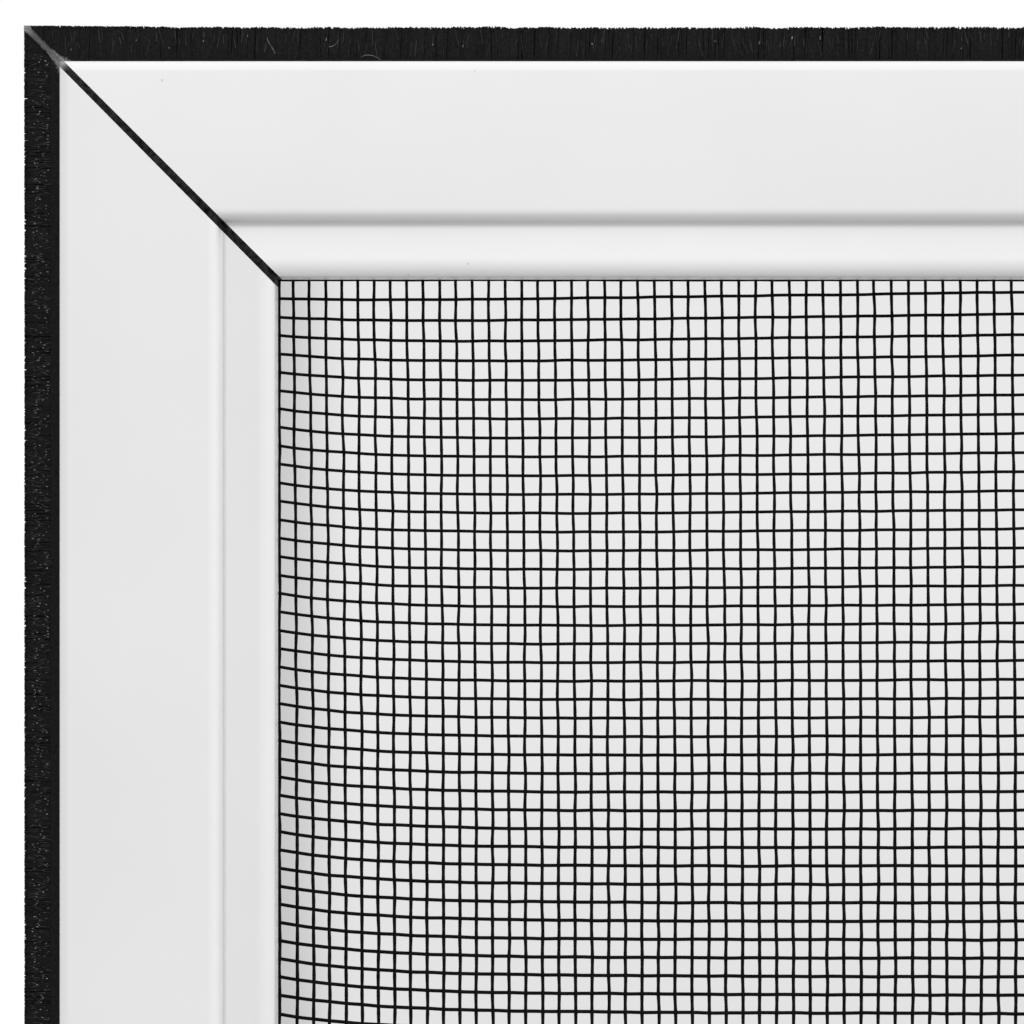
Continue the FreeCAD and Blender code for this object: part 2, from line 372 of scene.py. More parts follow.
def dust_and_highlight_on_mitres(mat):
    """Pale grey on a black finish, along corner diagonals to the pile tips: dust and painted highlight."""
    tree = mat.node_tree
    base = tree.nodes["Principled BSDF"].inputs["Base Color"]
    clean = base.links[0].from_socket
    where = object_place(tree)
    axes = axes_of(tree, where)
    out_x = calc(tree, "SUBTRACT", calc(tree, "ABSOLUTE", axes["X"]), half_width)
    out_z = calc(tree, "SUBTRACT", calc(tree, "ABSOLUTE", axes["Z"]), half_height)
    slant = math.sqrt(0.5)
    along = calc(tree, "MULTIPLY", calc(tree, "ADD", out_x, out_z), slant)
    apart = calc(tree, "ABSOLUTE", calc(tree, "SUBTRACT", out_x, out_z))
    aside = calc(tree, "MULTIPLY", apart, slant / mm)
    share = calc(tree, "DIVIDE", aside, grey_ramp(tree, along, mitre_band_width))
    fluff = calc(tree, "SUBTRACT", patches(tree, where, mitre_band_grain, mitre_band_detail), 0.5)
    band = grey_ramp(tree, calc(tree, "ADD", share, fluff), mitre_band_edge)
    cover = calc(tree, "MULTIPLY", band, grey_ramp(tree, along, mitre_band_cover))
    tree.links.new(blended(tree, "MIX", cover, clean, grey_ramp(tree, along, dust_and_highlight_greys)), base)


# %% The finishes of this screen
# The rail and stile coats are one coat with a different painted shade along the step.
rail_coat = coat("white_powder_coat_rail", "Z", half_height, rail_step_shade)
stile_coat = coat("white_powder_coat_stile", "X", half_width, stile_step_shade)
moulding = finish("black_moulding", dark=(0.001, 0.001, 0.0012), light=(0.028, 0.028, 0.0285), shine=0.04,
                  rough=0.55, rough_change=0.06, grain=0.35 * mm, bump=0.01 * mm, speck=0.45 * mm)
fibre = finish("black_fibre", dark=(0.003, 0.003, 0.0034), light=(0.012, 0.012, 0.0125), shine=0.085,
               rough=0.42, rough_change=0.1, grain=0.2 * mm, bump=0.004 * mm, speck=0.2 * mm)
dust_and_highlight_on_mitres(moulding)
dust_and_highlight_on_mitres(fibre)
# Dust and stray fibres of the top brush; on the left brush the same finishes are painted glints on fibre
# tips.
dust_and_glint = finish("dust", dark=(0.05, 0.05, 0.05), light=(0.26, 0.26, 0.26), shine=0.2,
               rough=0.8, rough_change=0.1, grain=0.2 * mm, bump=0.004 * mm, speck=0.4 * mm)
stray_and_glint = finish("glint_and_stray_fibre", dark=(0.012, 0.012, 0.012), light=(0.06, 0.06, 0.06), shine=0.15,
               rough=0.6, rough_change=0.1, grain=0.2 * mm, bump=0.004 * mm, speck=0.7 * mm)
thread = finish("black_coated_thread", dark=(0.002, 0.002, 0.0025), light=(0.005, 0.005, 0.0055), shine=0.05,
                rough=0.5, rough_change=0.08, grain=0.25 * mm, bump=0.006 * mm, speck=3 * mm)
spline_rubber = finish("black_spline", dark=(0.014, 0.014, 0.015), light=(0.022, 0.022, 0.023), shine=0.25,
                       rough=0.62, rough_change=0.06, grain=0.5 * mm, bump=0.012 * mm, speck=6 * mm)
finishes = (rail_coat, stile_coat, moulding, fibre, dust_and_glint, stray_and_glint, thread, spline_rubber)
print("finishes:", [mat.name for mat in finishes])

# %% [markdown]
# ## The extrusion
# An extruded bar is one outline pulled through a die, so it is drawn as an outline and then pulled. A
# single vertex is the pen: extruding it draws a straight run, and spinning it about a centre draws an arc
# with as many steps as the eye needs. Two more outlines make the hollows. A plane at 45 degrees cuts each
# end, and the cut is filled.

# %% Pen strokes
def place(u, v):
    return Vector((0, front + v, -u))


def draw_to(bm, pen, u, v):
    pen = bmesh.ops.extrude_vert_indiv(bm, verts=[pen])["verts"][0]
    pen.co = place(u, v)
    return pen


def draw_arc(bm, pen, u, v, degrees, steps):
    spun = bmesh.ops.spin(bm, geom=[pen], cent=place(u, v), axis=(1, 0, 0), angle=math.radians(degrees),
                          steps=steps, use_merge=False, use_duplicate=False)
    return only(bmesh.types.BMVert, spun["geom_last"])[0]


def draw_corners(bm, pen, *corners):
    for u, v in corners:
        pen = draw_to(bm, pen, u, v)
    return pen


# %% Outlines of the extrusion
edge_steps = 8
step_steps = 14
cove_steps = 8
lip_steps = 12
nose_steps = 5
back_steps = 5
hollow_steps = 6


def outer_outline(bm):
    start = bm.verts.new(place(0, edge_radius))
    pen = draw_arc(bm, start, edge_radius, edge_radius, 90, edge_steps)
    pen = draw_to(bm, pen, flat, 0)
    pen = draw_arc(bm, pen, flat, step_radius, step_slope, step_steps)
    pen = draw_to(bm, pen, foot_u, foot_v)
    pen = draw_arc(bm, pen, cove_u, cove_v, -step_slope - bead_slope, cove_steps)
    pen = draw_to(bm, pen, bead_u, bead_v)
    pen = draw_arc(bm, pen, lip_u, lip_v, bead_slope + lip_slope, lip_steps)
    pen = draw_arc(bm, pen, nose_u, nose_v, 90 - lip_slope, nose_steps)
    pen = draw_corners(
        bm, pen,
        (face, wall_end - chamfer), (face - chamfer, wall_end),
        (groove_inner + chamfer, wall_end), (groove_inner, wall_end - chamfer),
        (groove_inner, groove_floor), (groove_outer, groove_floor),
        (groove_outer, depth - back_radius),
    )
    pen = draw_arc(bm, pen, groove_outer - back_radius, depth - back_radius, 90, back_steps)
    pen = draw_to(bm, pen, back_radius, depth)
    pen = draw_arc(bm, pen, back_radius, depth - back_radius, 90, back_steps)
    pen = draw_corners(
        bm, pen,
        (0, middle + slot_mouth / 2), (slot_lip, middle + slot_mouth / 2),
        (slot_lip, middle + slot_width / 2), (slot_floor, middle + slot_width / 2),
        (slot_floor, middle - slot_width / 2), (slot_lip, middle - slot_width / 2),
        (slot_lip, middle - slot_mouth / 2), (0, middle - slot_mouth / 2),
    )
    bm.edges.new((pen, start))


def main_chamber(bm):
    start = bm.verts.new(place(slot_floor + wall, wall))
    pen = draw_corners(bm, start, (flat, wall), (flat, depth - wall), (slot_floor + wall, depth - wall))
    bm.edges.new((pen, start))


def bead_hollow(bm):
    rise = math.tan(bead_turn)
    ceiling = bead_v + wall / math.cos(bead_turn)
    turn = math.radians(90 + bead_slope) / 2
    set_back = hollow_radius * math.tan(turn)
    corner_v = ceiling + (bead_u - groove_inner) * rise
    start = bm.verts.new(place(groove_outer, groove_floor - wall))
    pen = draw_to(bm, start, groove_outer, ceiling + (bead_u - groove_outer) * rise)
    roll_u = groove_inner - set_back * math.cos(bead_turn)
    roll_v = corner_v + set_back * math.sin(bead_turn)
    pen = draw_to(bm, pen, roll_u, roll_v)
    roll = (roll_u + hollow_radius * math.sin(bead_turn), roll_v + hollow_radius * math.cos(bead_turn))
    pen = draw_arc(bm, pen, *roll, 90 + bead_slope, hollow_steps)
    pen = draw_to(bm, pen, groove_inner, groove_floor - wall)
    bm.edges.new((pen, start))


# %% Pull an outline along a side and mitre it
cut_exact = 1e-8


def pull(bm, length):
    """Pulls the outlines in a bmesh along X, over a length centred on zero."""
    bmesh.ops.translate(bm, verts=bm.verts, vec=(-length / 2, 0, 0))
    made = bmesh.ops.extrude_edge_only(bm, edges=bm.edges[:])["geom"]
    bmesh.ops.translate(bm, verts=only(bmesh.types.BMVert, made), vec=(length, 0, 0))


def pull_along(bm, course):
    """Pulls the one ring in a bmesh from point to point of a course."""
    ring = bm.edges[:]
    for a, b in zip(course, course[1:]):
        made = bmesh.ops.extrude_edge_only(bm, edges=ring)["geom"]
        ring = [e for e in only(bmesh.types.BMEdge, made) if len(e.link_faces) == 1]
        bmesh.ops.translate(bm, verts=only(bmesh.types.BMVert, made), vec=b - a)


def cut_by_plane(bm, point, way, outside=False):
    """Cuts all of a bmesh, keeps what lies inside the plane or outside it, and returns the cut's edges."""
    cut = bmesh.ops.bisect_plane(bm, geom=all_of(bm), dist=cut_exact, plane_co=point, plane_no=way,
                                 clear_outer=not outside, clear_inner=outside)
    return only(bmesh.types.BMEdge, cut["geom_cut"])


def saw(bm, end, distance, slant, outside=False):
    """Saws a bar at one end, at about 45 degrees, and keeps what lies inside the cut or outside it."""
    cut_by_plane(bm, (end * distance, 0, 0), (end, 0, -slant), outside)


def fill_cut(bm, end):
    rim = [e for e in bm.edges if len(e.link_faces) == 1 and e.verts[0].co.x * end > 0]
    bmesh.ops.triangle_fill(bm, edges=rim, use_beauty=True, use_dissolve=False)


def pulled_side(side, gap, slant, spare, *outlines):
    """One mitred side from outlines: a gap short of the diagonals, and a spare length past each end."""
    length = SIDES[side][0]
    bm = bmesh.new()
    for draw in outlines:
        draw(bm)
    pull(bm, length + 2 * spare)
    for end in (-1, 1):
        saw(bm, end, length / 2 - gap, slant)
    for end in (-1, 1):
        fill_cut(bm, end)
    seat(bm, side)
    return bm


# %% The four bars
true_mitre = 1.0
stile_mitre = 1.011
stile_slack = 0.1 * mm
for side, node in NODES.items():
    upright = side in ("left", "right")
    gap = mitre_gap + stile_slack if upright else mitre_gap
    slant = stile_mitre if upright else true_mitre
    bm = pulled_side(side, gap, slant, 0, outer_outline, main_chamber, bead_hollow)
    piece(node + "_coated", bm, stile_coat if upright else rail_coat, "white_powder_coat", node)

# %% [markdown]
# ## Corner keys
# Only the thin web of a key shows, as the black line along the mitre. The CAD keys have the right shape
# already, so they stay and get the moulded finish. The stiles are sawn a hair short and not quite at 45
# degrees, as sawn bars are, and a thin wedge in the shape of the section thickens the web there, so that
# the line has its full width.

# %% Finish of the corner keys
for name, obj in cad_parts.items():
    if name.startswith("corner_key_"):
        obj.data.materials.clear()
        obj.data.materials.append(moulding)


# %% Wedges beside the webs
def web_wedge(side, end):
    """What lies between the true mitre and the sawn end of a stile, in the shape of the section."""
    length = SIDES[side][0]
    bm = bmesh.new()
    outer_outline(bm)
    pull(bm, length)
    saw(bm, end, length / 2 - mitre_gap, true_mitre)
    fill_cut(bm, end)
    saw(bm, end, length / 2 - mitre_gap - stile_slack, stile_mitre, outside=True)
    fill_cut(bm, end)
    seat(bm, side)
    return bm


STILE_ENDS = {
    "top_left": ("left", 1),
    "bottom_left": ("left", -1),
    "bottom_right": ("right", 1),
    "top_right": ("right", -1),
}
for corner, (side, end) in STILE_ENDS.items():
    piece(f"key_web_{corner}", web_wedge(side, end), moulding, "black_moulding")

# %% [markdown]
# ## Brush seal
# A brush seal is a strip of woven backing with thousands of upright fibres. A solid core keeps light from
# coming through, and real fibres stand round it, so the edge glints and frays as a brush does. One fibre
# is a thin three-sided cone. Spin with no angle and a step copies it into rows and then along the side.
# Each fibre then leans a little by its own cell of noise, and the mitre planes cut the ends as they cut
# the bars. A fan of fibres fills each cut.

# %% Core of the brush
brush_play = 0.15 * mm
pile_half = slot_mouth / 2 - brush_play
backing_half = slot_width / 2 - brush_play
backing_front = slot_lip + brush_play
backing_back = slot_floor - brush_play
core_short = 0.3 * mm
core_thin = 0.2 * mm
plain_shelf = 0.4 * mm
left_shelf = 0.95 * mm
gap_share = 0.6
brush_gap = mitre_gap * gap_share


def brush_core(shelf):
    """The outline of a core that is as thick as the pile up to a shelf, and thinner from there to its tip."""
    def draw(bm):
        tip = core_short - pile_height
        half = pile_half - core_thin
        start = bm.verts.new(place(tip, middle - half))
        pen = draw_corners(
            bm, start,
            (-shelf, middle - half), (-shelf, middle - pile_half),
            (backing_front, middle - pile_half), (backing_front, middle - backing_half),
            (backing_back, middle - backing_half), (backing_back, middle + backing_half),
            (backing_front, middle + backing_half), (backing_front, middle + pile_half),
            (-shelf, middle + pile_half), (-shelf, middle + half),
            (tip, middle + half),
        )
        bm.edges.new((pen, start))
    return draw


for side in SIDES:
    outline = brush_core(left_shelf if side == "left" else plain_shelf)
    bm = pulled_side(side, brush_gap, true_mitre, pile_height, outline)
    piece(f"brush_core_{side}", bm, fibre, "black_pile", f"brush_seal_{side}")

# %% Fibres of the brush
fibre_sides = 3
fibre_root = 0.3 * mm
fibre_radius = 0.07 * mm
fibre_taper = 0.6
fibre_lean = 0.35 * mm
neat_trim = 0.01 * mm
worn_trim = 0.06 * mm
frayed_trim = 0.36 * mm
fray_width = 2.0 * mm
fray_start = 14 * mm
tip_short = 0.012 * mm
fibre_rows = 7
row_cell = 0.1 * mm
row_play = 0.2 * mm
tuft = 25
cell_stretch = 1.37
lean_lot = 7.5
fray_lot = (3.5, 1.5)


def fibre_at(x, y, z, length, radius, taper):
    """A bmesh with one upright fibre, a three-sided cone about its middle."""
    bm = bmesh.new()
    bmesh.ops.create_cone(bm, cap_ends=True, segments=fibre_sides, radius1=radius, radius2=radius * taper,
                          depth=length, matrix=Matrix.Translation((x, y, z)))
    return bm


def copy_on(bm, step, count):
    """Repeats all that a bmesh holds in a straight row, a step apart."""
    bmesh.ops.spin(bm, geom=all_of(bm), cent=(0, 0, 0), axis=(0, 0, 1), dvec=step, angle=0, steps=count - 1,
                   use_duplicate=True)


def lean_fibres(bm, length, spacing, trim):
    """Leans each fibre by its own cell of noise. Away from the corners it trims tips, as an edge frays."""
    for v in bm.verts:
        cell = Vector((round(v.co.x / spacing), round((v.co.y + depth) / row_cell), lean_lot))
        chance = noise.cell_vector(cell * cell_stretch)
        share = (v.co.z + fibre_root) / (pile_height + fibre_root)
        v.co.x += (chance.x - 0.5) * spacing + share * (chance.y - 0.5) * fibre_lean
        v.co.y += (chance.z - 0.5) * row_play
        wave = 0.5 + 0.5 * noise.noise(Vector((v.co.x / fray_width, *fray_lot)))
        frayed = min(max(length / 2 - abs(v.co.x), 0) / fray_start, 1)
        v.co.z -= share * frayed * trim * (wave + chance.x) / 2


def crop(bm, point, way):
    """Cuts loose fibres by a plane and closes each cut fibre."""
    bmesh.ops.holes_fill(bm, edges=cut_by_plane(bm, point, way), sides=0)


def cut_mitres(bm, length, gap):
    """Cuts loose fibres at both mitres."""
    for end in (-1, 1):
        crop(bm, (end * (length / 2 - gap), 0, 0), (end, 0, -1))


def fibres(side, start, end, spacing, rows, trim):
    """A stretch of loose fibres on a side, from start to end along it."""
    length = SIDES[side][0]
    spread = pile_half - core_thin
    row_gap = 2 * spread / (rows - 1)
    tall = pile_height + fibre_root
    bm = fibre_at(start, -spread, tall / 2 - fibre_root, tall, fibre_radius, fibre_taper)
    tufts = math.ceil((end - start) / (spacing * tuft))
    copy_on(bm, (0, row_gap, 0), rows)
    copy_on(bm, (spacing, 0, 0), tuft)
    copy_on(bm, (spacing * tuft, 0, 0), tufts)
    lean_fibres(bm, length, spacing, trim)
    cut_mitres(bm, length, brush_gap)
    seat(bm, side)
    return bm


fine_run = 90 * mm
fine_spacing = 0.16 * mm
plain_spacing = 0.5 * mm
plain_rows = 5
reach_x = half_width + pile_height
reach_z = half_height + pile_height
runs = [
    ("top", "near", -reach_x, -half_width + fine_run, fine_spacing, fibre_rows, frayed_trim),
    ("top", "far", -half_width + fine_run, reach_x, plain_spacing, plain_rows, neat_trim),
    ("right", "all", -reach_z, reach_z, plain_spacing, plain_rows, neat_trim),
    ("bottom", "all", -reach_x, reach_x, plain_spacing, plain_rows, neat_trim),
    ("left", "far", -reach_z, half_height - fine_run, plain_spacing, plain_rows, worn_trim),
    ("left", "near", half_height - fine_run, reach_z, fine_spacing, fibre_rows, worn_trim),
]
for side, part, start, end, spacing, rows, trim in runs:
    bm = fibres(side, start, end, spacing, rows, trim)
    piece(f"brush_fibres_{side}_{part}", bm, fibre, "black_pile")

# %% Cut fibre ends along the mitres
cut_rows = 11
cut_radius = 0.06 * mm
cut_step = 0.065 * mm
cut_across = 7


def cut_ends():
    """A fan of fibre ends that fills the mitre of one corner, out along its diagonal."""
    tall = pile_height * math.sqrt(2) + cut_radius
    spread = pile_half + cut_radius
    bm = fibre_at(-cut_step * (cut_across - 1) / 2, -spread, tall / 2, tall, cut_radius, 1)
    copy_on(bm, (0, 2 * spread / (cut_rows - 1), 0), cut_rows)
    copy_on(bm, (cut_step, 0, 0), cut_across)
    return bm


def square_off(bm, right, up):
    """Cuts what stands out of the square corner of the pile."""
    for outwards, reach in (((right, 0, 0), half_width), ((0, 0, up), half_height)):
        way = Vector(outwards)
        crop(bm, way * (reach + pile_height - tip_short), way)


CORNERS = {"top_right": (1, 1), "bottom_right": (1, -1), "bottom_left": (-1, -1), "top_left": (-1, 1)}
for number, (name, (right, up)) in enumerate(CORNERS.items()):
    bm = cut_ends()
    turn = Matrix.Rotation(math.radians(45 + 90 * number), 3, "Y")
    bmesh.ops.rotate(bm, verts=bm.verts, cent=(0, 0, 0), matrix=turn)
    bmesh.ops.translate(bm, verts=bm.verts, vec=(right * half_width, 0, up * half_height))
    square_off(bm, right, up)
    piece(f"brush_cut_{name}", bm, fibre, "black_pile")

# %% [markdown]
# ## Dust and painted glints in the brush
# A used brush holds dust and loose fibres. They are cones like the fibres, only short and thin, one to a
# spacing, and cells of noise scatter them over the front of the pile. On the left side the pale bits are
# painted glints, for light on the fibre tips. Nearly half of them sink out of sight, so no row shows. Three
# longer hairs are rings pulled along curves.

# %% Dust, loose fibres and painted glints in the brush
bit_low = 1.1 * mm
bit_high = 2.6 * mm
bit_sink = 0.3 * mm
bit_short = 0.1 * mm
bit_lean = 0.7
bit_seat = 0.05 * mm
bit_taper = 0.7
bit_thin = 0.6
bit_thick = 0.7
bit_least = 0.4
sunk_share = 0.42
cell_start = 0.2
place_lot = 2.5
size_lot = 6.5
size_shift = 5


def scatter(bm, spacing, lot):
    """Scatters bits over the front of the pile by cells of noise. Nearly half of them sink out of sight."""
    for v in bm.verts:
        number = round(v.co.x / spacing)
        cell = number * cell_stretch + cell_start
        chance = noise.cell_vector(Vector((cell, lot, place_lot)))
        size = noise.cell_vector(Vector((cell, lot + size_shift, size_lot)))
        along = (v.co.x - number * spacing) * (bit_thin + bit_thick * size.x)
        out = v.co.z * (bit_least + size.z)
        v.co.x = (number + chance.x - 0.5) * spacing + along + out * bit_lean * (size.y - 0.5)
        v.co.z = bit_low + chance.y * (bit_high - bit_low) + out
        v.co.y += bit_sink if chance.z < sunk_share else 0


def bits(side, length, radius, spacing, lot):
    """Thin bits that lie across the pile, one to a spacing, along a side. The lot sets how they fall."""
    whole = SIDES[side][0]
    blocks = math.ceil(whole / (spacing * tuft))
    start = -(blocks * tuft // 2) * spacing
    bm = fibre_at(start, -pile_half + bit_seat, 0, length, radius, bit_taper)
    copy_on(bm, (spacing, 0, 0), tuft)
    copy_on(bm, (spacing * tuft, 0, 0), blocks)
    scatter(bm, spacing, lot)
    for v in bm.verts:
        v.co.z = min(v.co.z, pile_height - bit_short)
    cut_mitres(bm, whole, brush_gap)
    seat(bm, side)
    return bm


# For each lot of bits: piece, side, finish, length, radius, spacing, and the number that sets how they fall
BITS = [
    # The two lots on the left side are painted glints: pale bits for light on the fibre tips.
    ("brush_glints_left", "left", dust_and_glint, 0.12 * mm, 0.042 * mm, 0.11 * mm, 4.5),
    ("brush_glint_fibres_left", "left", stray_and_glint, 0.5 * mm, 0.032 * mm, 0.09 * mm, 8.5),
    ("brush_dust_top", "top", dust_and_glint, 0.2 * mm, 0.05 * mm, 2.4 * mm, 12.5),
    ("brush_strays_top", "top", stray_and_glint, 1.0 * mm, 0.024 * mm, 0.36 * mm, 16.5),
]
for name, side, material, length, radius, spacing, lot in BITS:
    piece(name, bits(side, length, radius, spacing, lot), material, "black_pile")

# %% Curled hairs on the top brush
hair_radius = 0.022 * mm
hair_steps = 12
HAIRS = [
    ((25.0, 0.55), (25.5, 0.85), (26.1, 0.75), (26.7, 0.26)),
    ((22.3, 1.4), (22.7, 1.5), (22.9, 1.5), (23.1, 2.0)),
    ((17.1, 2.3), (17.2, 1.6), (17.6, 1.5), (17.8, 0.8)),
]


def hair(*points):
    """A hair along a curve: start, two handles and end, in mm from the left end and from the outer edge."""
    knots = [Vector((-half_width + along * mm, -pile_half, out * mm)) for along, out in points]
    course = interpolate_bezier(*knots, hair_steps)
    turn = (knots[-1] - knots[0]).to_track_quat("Z", "Y").to_matrix().to_4x4()
    bm = bmesh.new()
    bmesh.ops.create_circle(bm, cap_ends=True, segments=fibre_sides, radius=hair_radius,
                            matrix=Matrix.Translation(knots[0]) @ turn)
    pull_along(bm, course)
    return bm


hairs = joined(*[hair(*points) for points in HAIRS])
seat(hairs, "top")
piece("brush_hairs_top", hairs, dust_and_glint, "black_pile")

# %% [markdown]
# ## Splines
# The cord that clamps the mesh is a soft round extrusion with small ribs along it, so that it grips. A
# circle whose every other vertex is drawn in a little gives the ribs when it is pulled along the groove.

# %% Ribbed splines
spline_low, spline_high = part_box("spline_top")
spline_radius = (spline_high.z - spline_low.z) / 2
spline_centre = (spline_low.y + spline_high.y) / 2
spline_inset = half_height - (spline_low.z + spline_high.z) / 2
rib_count = 18
rib_depth = 0.14 * mm


def spline_outline(bm):
    across = Matrix.Rotation(math.radians(90), 4, "Y")
    centre = Matrix.Translation((0, spline_centre, -spline_inset))
    bmesh.ops.create_circle(bm, cap_ends=False, segments=2 * rib_count, radius=spline_radius,
                            matrix=centre @ across)
    valleys = bm.verts[:][::2]
    shrink = Matrix.Scale(1 - rib_depth / spline_radius, 4)
    bmesh.ops.transform(bm, verts=valleys, matrix=shrink, space=centre.inverted())


for side in SIDES:
    bm = pulled_side(side, mitre_gap, true_mitre, 0, spline_outline)
    piece(f"spline_{side}_ribbed", bm, spline_rubber, "black_spline", f"spline_{side}")

# %% [markdown]
# ## Insect mesh
# The mesh is glass yarn with a black coating, woven 18 by 16 threads to the inch. A flat sheet with a
# pattern would look flat, so the threads are tubes. Every thread is pulled ring by ring along its
# stations, copied across by spin and then bent by one rule: it bows where the cloth was pulled by hand,
# wavers a little, and dips over and under its neighbours. The corner that is looked at closely has four
# rings to a crossing. The rest has only a few, too few to dip and waver by, so there the threads run
# level, with the mean thickness, and look the same from afar.

# %% Measures of the weave
inch = 25.4 * mm
warp_pitch = inch / 18
weft_pitch = inch / 16
thread_radius = 0.138 * mm
weave_dip = 0.09 * mm
mesh_lift = 0.17 * mm
mesh_level = front + wall_end + mesh_lift
warp_count = int(2 * open_x / warp_pitch)
weft_count = int(2 * open_z / weft_pitch)
first_shift = 0.05 * mm
first_warp = -open_x + first_shift
first_weft = open_z
corner_warps = 52
corner_wefts = 46
corner_right = first_warp + (corner_warps - 0.5) * warp_pitch
corner_down = first_weft - (corner_wefts - 0.5) * weft_pitch
print(f"{warp_count} warp and {weft_count} weft threads")


# %% How the cloth was pulled, in mm from the corner
lip_shift = 0.05 * mm
calm_start = 62
calm_end = 72
stretch_bow = 0.00057
stretch_slope = 0.037
stretch_start = 0.17
lean_slope = 0.0115
lean_bow = 0.00009
sag_depth = 1.05
sag_run = 4.3
sag_bow = 0.00032
hold_rise = 1.34
hold_slope = 0.0011
hold_run = 5.7
hold_reach = 7.7
tilt_bow = 0.00028
tilt_slope = 0.0143
thick_most = 1.12
thick_change = 0.12
thick_start = 20
thick_end = 60


def settle(distance, start, end):
    """1 up to a start, easing to 0 at an end."""
    share = min(max((end - distance) / (end - start), 0), 1)
    return share * share * (3 - 2 * share)


def pulled(number, x, z):
    """How far a thread is drawn to the right and up near the top left corner. Thread 0 lies at the lip."""
    if number == 0:
        return lip_shift, 0
    across = max(x - first_warp, 0) / mm
    down = max(first_weft - z, 0) / mm
    calm = settle(across, calm_start, calm_end) * settle(down, calm_start, calm_end)
    stretch = across * (stretch_bow * across - stretch_slope) - stretch_start
    lean = down * (lean_slope - lean_bow * down)
    sag = sag_depth * (1 - math.exp(-down / sag_run)) - sag_bow * down * down
    hold = (hold_rise + hold_slope * down) * (1 - math.exp(-down / hold_run)) * math.exp(-across / hold_reach)
    tilt = (tilt_bow * down - tilt_slope) * across
    return (stretch + lean) * calm * mm, (hold - sag - tilt) * calm * mm


def thickness(z):
    """Threads are drawn thin near the top, where the cloth was pulled, and are thicker lower down."""
    return thick_most - thick_change * settle((first_weft - z) / mm, thick_start, thick_end)


# %% Threads from stations
thread_sides = 6
waver_apart = 3.7
waver_length = 2.6 * mm
waver_lot = 0.5


def thread_row(stations, count, pitch):
    """A row of straight tubes along -Z, copied along X. Stations are distances down from z = 0."""
    bm = bmesh.new()
    course = [Vector((0, 0, -s)) for s in stations]
    bmesh.ops.create_circle(bm, cap_ends=False, segments=thread_sides, radius=1,
                            matrix=Matrix.Translation(course[0]))
    pull_along(bm, course)
    bmesh.ops.scale(bm, verts=bm.verts, vec=(thread_radius, thread_radius, 1))
    copy_on(bm, (pitch, 0, 0), count)
    return bm


def waver(number, along, amount):
    """Small sideways wander of one thread."""
    return amount * noise.noise(Vector((number * waver_apart, along / waver_length, waver_lot)))


# %% Bend the threads into the cloth
bend = face - groove_inner - chamfer
warp_swell = 0.16
weft_swell = 0.08
warp_waver = 0.075 * mm
weft_waver = 0.045 * mm
tuck_out = 0.25 * mm
tuck_start = 0.1 * mm


def tuck(over, level):
    """Past the wall's end, a thread turns down into the groove: distance outwards and depth."""
    if over <= bend:
        return over, level
    return bend + min(over - bend, tuck_out), level - max(over - bend - tuck_start, 0)


def lay_warps(bm, first, close):
    """Bends a row of threads down the screen, numbered on from the first. Close ones dip and waver."""
    for v in bm.verts:
        number = first + round(v.co.x / warp_pitch)
        centre = (number - first) * warp_pitch
        x = first_warp + number * warp_pitch
        z = open_z + v.co.z
        crossing = (first_weft - z) / weft_pitch
        swell = (1 + warp_swell * (math.cos(math.pi * crossing) ** 2 if close else 0.5)) * thickness(z)
        side = (v.co.x - centre) * swell
        rise = v.co.y * swell
        drawn = pulled(number, x, z)[0] + close * waver(number, z, warp_waver)
        level = mesh_level - close * weave_dip * math.cos(math.pi * (crossing + number))
        over, level = tuck(abs(z) - open_z, level)
        v.co = Vector((x + drawn + side, level + rise, math.copysign(open_z + over, z)))


def lay_wefts(bm, first, close):
    """The same for threads across the screen, which arrive as threads down it."""
    for v in bm.verts:
        number = first + round(v.co.x / weft_pitch)
        centre = (number - first) * weft_pitch
        z = first_weft - number * weft_pitch
        x = -open_x - v.co.z
        crossing = (x - first_warp) / warp_pitch
        thick = (1 + weft_swell) * thickness(z)
        side = (v.co.x - centre) * thick
        drawn = pulled(number, x, z)[1] + close * waver(number + 0.5, x, weft_waver)
        level = mesh_level + close * weave_dip * math.cos(math.pi * (crossing + number))
        over, level = tuck(abs(x) - open_x, level)
        v.co = Vector((math.copysign(open_x + over, x), level + v.co.y * thick, z + drawn + side))


# %% Stations along the threads
tuck_stations = [-2.2 * mm, -1.3 * mm, -1.0 * mm, -0.8 * mm, 0]
coarse_rings = 9


def stations_between(start, end, length):
    """Stations of a coarse thread: the tuck where it starts or ends at the frame, and even steps between."""
    low = tuck_stations if start == 0 else [start]
    high = [length - s for s in reversed(tuck_stations)] if end == length else [end]
    steps = [low[-1] + (high[0] - low[-1]) * i / coarse_rings for i in range(1, coarse_rings)]
    return low + steps + high


def fine_stations(pitch, phase, end):
    """Stations four to a crossing, from the tuck to an end."""
    quarter = pitch / 4
    steps = [phase + quarter * i for i in range(int((end - phase) / quarter))]
    return tuck_stations[:-1] + [s for s in steps if s > 0] + [end]


opening_height = 2 * open_z
opening_width = 2 * open_x
down_end = open_z - corner_down
right_end = corner_right + half_width - face

# %% Threads of the close corner
corner_warp = thread_row(fine_stations(weft_pitch, 0, down_end), corner_warps, warp_pitch)
lay_warps(corner_warp, 0, True)
corner_weft = thread_row(fine_stations(warp_pitch, first_shift, right_end), corner_wefts, weft_pitch)
lay_wefts(corner_weft, 0, True)
close_warps = piece("mesh_corner_warps", corner_warp, thread, "black_mesh")
close_wefts = piece("mesh_corner_wefts", corner_weft, thread, "black_mesh")

